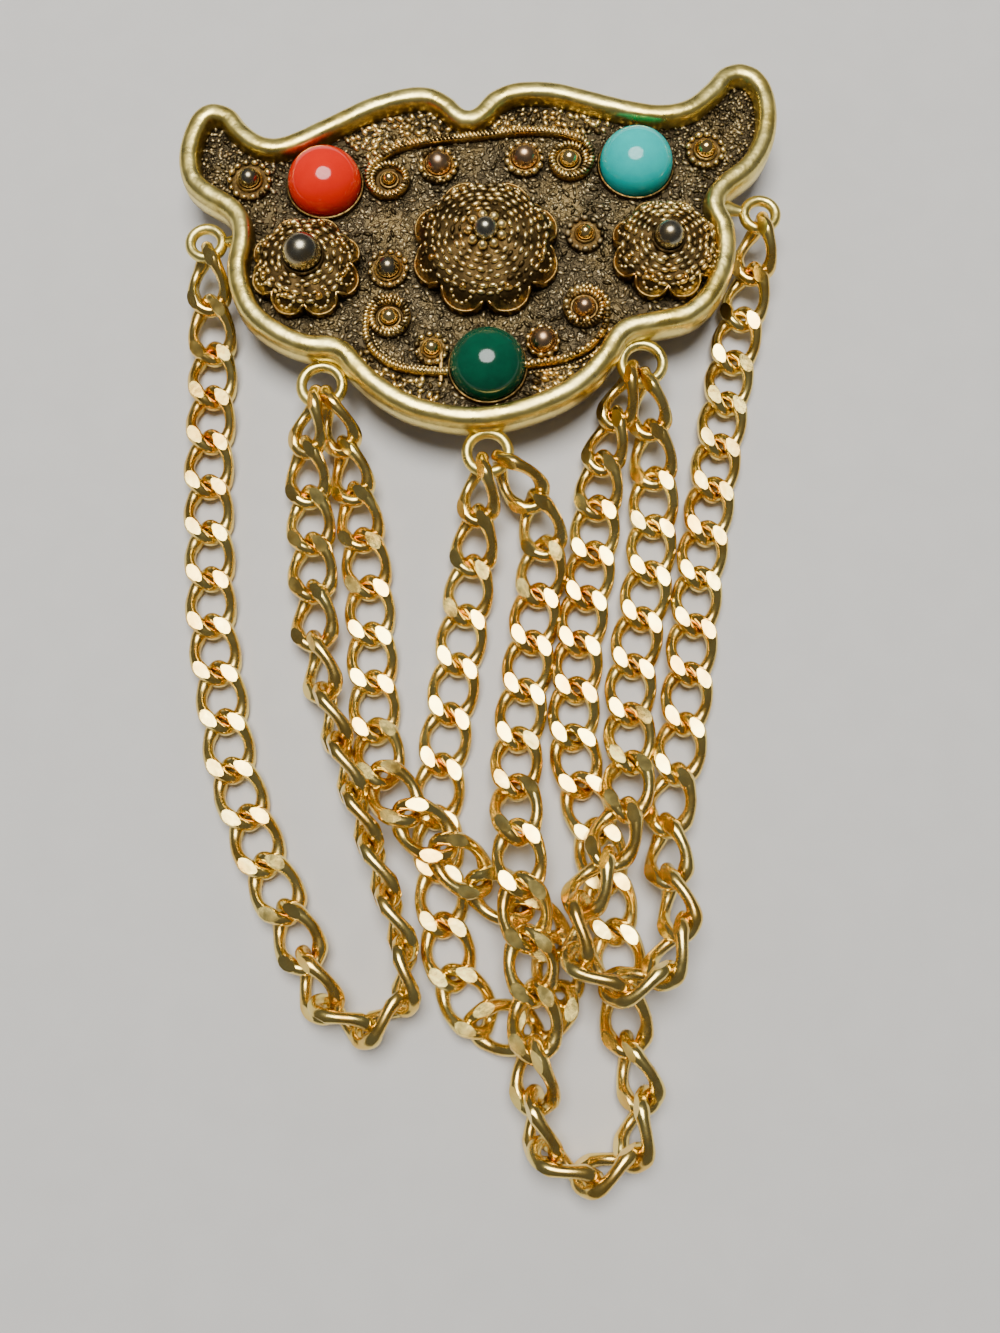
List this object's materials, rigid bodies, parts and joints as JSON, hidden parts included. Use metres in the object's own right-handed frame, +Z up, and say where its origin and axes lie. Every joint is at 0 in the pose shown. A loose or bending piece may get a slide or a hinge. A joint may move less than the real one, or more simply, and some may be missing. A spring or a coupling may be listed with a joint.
{
  "type": "chatelaine brooch",
  "caption": "Cast scroll plaque with petalled domes and round cabochons, from which swags of flattened curb chain hang; a bar pin crosses its back.",
  "frame": {"origin": "middle of the bounding box, on the surface that the brooch lies on", "axes": "+Z up from that surface through the plaque's face, +Y from the lowest chain towards the plaque's crest, +X to the wearer's left"},
  "size_m": [0.0566, 0.1013, 0.0095],
  "materials": {
    "cast_gold": "antiqued gold plate, dark in the hollows",
    "coral": "polished opaque orange-red",
    "turquoise": "polished opaque blue-green",
    "jade": "polished opaque deep green",
    "pin_metal": "plain satin gold plate",
    "chain_gold": "bright gold plate, mirror-filed facets"
  },
  "bodies": {
    "root": {"plaque": "cast_gold", "coral_cabochon": "coral", "turquoise_cabochon": "turquoise", "jade_cabochon": "jade", "bar_pin": "pin_metal", "chain_outer_left": "chain_gold", "chain_inner_left": "chain_gold", "chain_inner_right": "chain_gold", "chain_outer_right": "chain_gold"}
  },
  "joints": []
}
